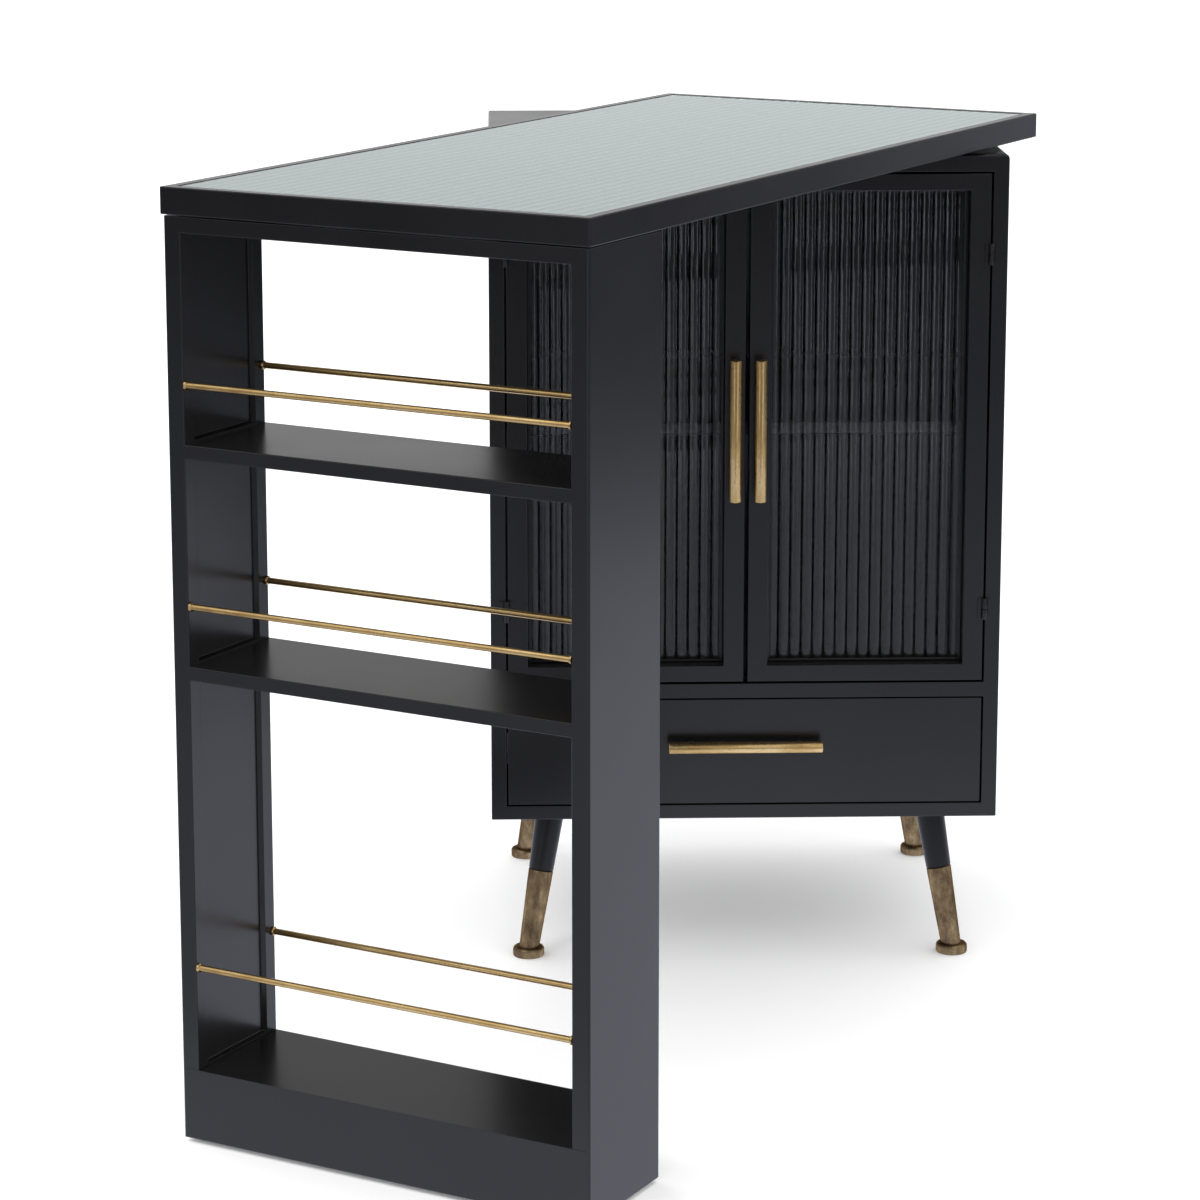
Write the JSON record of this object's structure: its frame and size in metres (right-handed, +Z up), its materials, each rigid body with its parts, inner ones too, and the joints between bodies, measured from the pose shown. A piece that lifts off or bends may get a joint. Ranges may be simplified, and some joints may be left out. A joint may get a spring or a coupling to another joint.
{
  "type": "kitchen island cart",
  "caption": "Glazed metal cabinet on splayed legs with a swivelling glass-topped table whose far end rides on an open rack with guard rails.",
  "frame": {"origin": "middle of the whole footprint on the floor, with the table turned 59.2 degrees out of its closed place over the cabinet", "axes": "+Z up, the cabinet's doors and drawer face -Y, +X to the right of someone facing them"},
  "size_m": [0.8688, 1.1604, 0.9],
  "materials": {
    "aged_brass": "aged satin brass, lightly worn",
    "antique_brass": "darkened mottled brass",
    "black_rubber": "matte",
    "clear_glass": "fluted clear glass",
    "powder_black": "satin black powder coat",
    "zinc_steel": "bright zinc"
  },
  "bodies": {
    "cabinet": {"cabinet_top": "powder_black", "cabinet_bottom": "powder_black", "cabinet_side_left": "powder_black", "cabinet_side_right": "powder_black", "cabinet_back": "powder_black", "face_frame": "powder_black", "drawer_deck": "powder_black", "cabinet_shelf": "powder_black", "door_catch": "powder_black", "leg_upper_front_left": "powder_black", "leg_upper_front_right": "powder_black", "leg_upper_back_left": "powder_black", "leg_upper_back_right": "powder_black", "leg_lower_front_left": "antique_brass", "leg_lower_front_right": "antique_brass", "leg_lower_back_left": "antique_brass", "leg_lower_back_right": "antique_brass", "hinge_left_lower_frame_leaf": "powder_black", "hinge_left_upper_frame_leaf": "powder_black", "hinge_right_lower_frame_leaf": "powder_black", "hinge_right_upper_frame_leaf": "powder_black", "drawer_runner_left_rail": "zinc_steel", "drawer_runner_right_rail": "zinc_steel", "swivel_base_ring": "zinc_steel", "pivot_bolt": "zinc_steel"},
    "table": {"table_frame": "powder_black", "table_glass": "clear_glass", "table_pan": "powder_black", "swivel_hub": "zinc_steel", "rack_side_left": "powder_black", "rack_side_right": "powder_black", "rack_head": "powder_black", "rack_shelf_upper": "powder_black", "rack_shelf_lower": "powder_black", "rack_base": "powder_black", "rail_upper_front": "aged_brass", "rail_upper_back": "aged_brass", "rail_middle_front": "aged_brass", "rail_middle_back": "aged_brass", "rail_lower_front": "aged_brass", "rail_lower_back": "aged_brass", "caster_left_bracket": "zinc_steel", "caster_right_bracket": "zinc_steel"},
    "door_left": {"door_left_frame": "powder_black", "door_left_glass": "clear_glass", "door_left_handle": "aged_brass", "hinge_left_lower_door_leaf": "powder_black", "hinge_left_upper_door_leaf": "powder_black"},
    "door_right": {"door_right_frame": "powder_black", "door_right_glass": "clear_glass", "door_right_handle": "aged_brass", "hinge_right_lower_door_leaf": "powder_black", "hinge_right_upper_door_leaf": "powder_black"},
    "drawer": {"drawer_front": "powder_black", "drawer_box": "powder_black", "drawer_handle": "aged_brass", "drawer_runner_left_slide": "zinc_steel", "drawer_runner_right_slide": "zinc_steel"},
    "caster_left": {"caster_left_wheel": "black_rubber"},
    "caster_right": {"caster_right_wheel": "black_rubber"}
  },
  "joints": [
    {"name": "table_swivel", "type": "hinge", "parent": "cabinet", "child": "table", "pos_m": [0.31316, 0.22514, 0.87], "axis": [0, 0, 1], "range_deg": [-59.2, 120.8]},
    {"name": "door_left_hinge", "type": "hinge", "parent": "cabinet", "child": "door_left", "pos_m": [-0.12624, 0.12704, 0.58], "axis": [0, 0, -1], "range_deg": [0, 110]},
    {"name": "door_right_hinge", "type": "hinge", "parent": "cabinet", "child": "door_right", "pos_m": [0.37476, 0.12704, 0.58], "axis": [0, 0, 1], "range_deg": [0, 110]},
    {"name": "drawer_slide", "type": "slide", "parent": "cabinet", "child": "drawer", "axis": [0, -1, 0], "range_m": [0, 0.3]},
    {"name": "caster_left_roll", "type": "hinge", "parent": "table", "child": "caster_left", "pos_m": [-0.34745, -0.32977, 0.025], "axis": [0.7657, 0.6432, 0], "continuous": true},
    {"name": "caster_right_roll", "type": "hinge", "parent": "table", "child": "caster_right", "pos_m": [-0.07601, -0.49157, 0.025], "axis": [0.4772, 0.8788, 0], "continuous": true}
  ]
}
